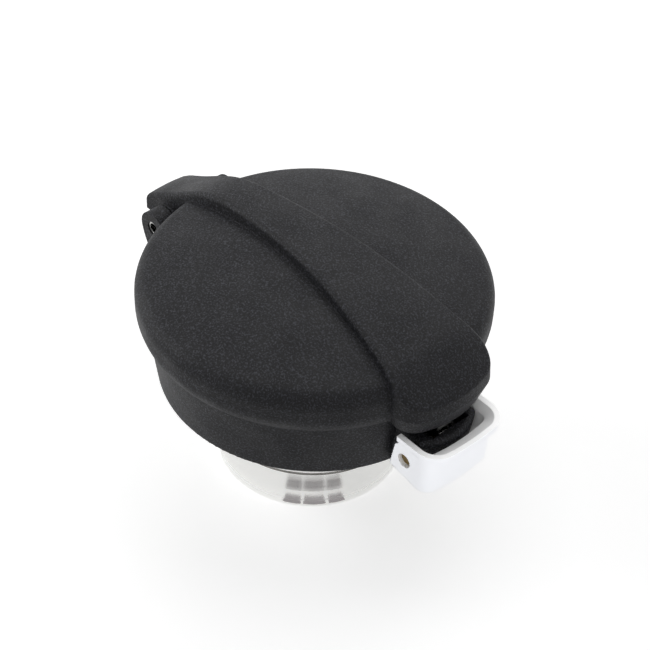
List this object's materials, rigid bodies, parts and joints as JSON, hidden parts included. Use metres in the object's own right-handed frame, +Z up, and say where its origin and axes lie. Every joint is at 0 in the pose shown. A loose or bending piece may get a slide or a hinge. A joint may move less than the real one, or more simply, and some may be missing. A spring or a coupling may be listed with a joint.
{
  "type": "fuel filler cap",
  "caption": "Flip-up fuel filler cap: domed lid with a raised strap, hinged on a drum housing over a turned neck, opened by a chrome forked lever.",
  "frame": {"origin": "centre of the neck's bottom face, on the cap's axis", "axes": "+Z up the neck towards the lid; +X from the lid's hinge to the release lever; +Y along the hinge pin"},
  "size_m": [0.1176, 0.09, 0.0699],
  "materials": {
    "textured_black_coat": "fine-grained matt black powder coat on cast aluminium",
    "turned_aluminium": "bright turned aluminium with fine tool lines",
    "black_rubber": "fuel-resistant rubber, satin",
    "zinc_steel": "zinc-plated screw steel",
    "bright_steel": "bright ground steel",
    "spring_steel": "drawn spring wire",
    "bushing_bronze": "sintered bronze, oiled",
    "polished_chrome": "mirror-bright chrome plate",
    "pin_brass": "cut brass-coloured pin end"
  },
  "bodies": {
    "housing": {"body": "textured_black_coat", "neck": "turned_aluminium", "neck_gasket": "black_rubber", "neck_screws": "zinc_steel", "hinge_pin": "bright_steel"},
    "lid": {"lid": "textured_black_coat", "hinge_bush_left": "bushing_bronze", "hinge_bush_right": "bushing_bronze", "hinge_spring": "spring_steel", "striker_plate": "bright_steel", "striker_screws": "zinc_steel", "guide_stud": "bright_steel", "seal_spring": "spring_steel"},
    "seal": {"seal_carrier": "turned_aluminium", "lid_seal": "black_rubber", "clamp_plate": "turned_aluminium", "clamp_screws": "zinc_steel"},
    "lever": {"lever": "polished_chrome", "lever_pin": "pin_brass", "latch_hook": "bright_steel", "lever_spring": "spring_steel"}
  },
  "joints": [
    {"name": "lid_hinge", "type": "hinge", "parent": "housing", "child": "lid", "pos_m": [-0.0497, 0, 0.0481], "axis": [0, -1, 0], "range_deg": [0, 100], "stiffness_Nm_per_rad": 0.012, "springref_deg": 137.51, "deforming": ["hinge_spring"]},
    {"name": "seal_float", "type": "slide", "parent": "lid", "child": "seal", "axis": [0, 0, 1], "range_m": [0, 0.0015], "stiffness_N_per_m": 1500, "springref_m": -0.003, "deforming": ["seal_spring"]},
    {"name": "lever_hinge", "type": "hinge", "parent": "housing", "child": "lever", "pos_m": [0.0455, 0, 0.0354], "axis": [0, 1, 0], "range_deg": [0, 12], "stiffness_Nm_per_rad": 0.15, "springref_deg": -20.05, "deforming": ["lever_spring"]}
  ]
}
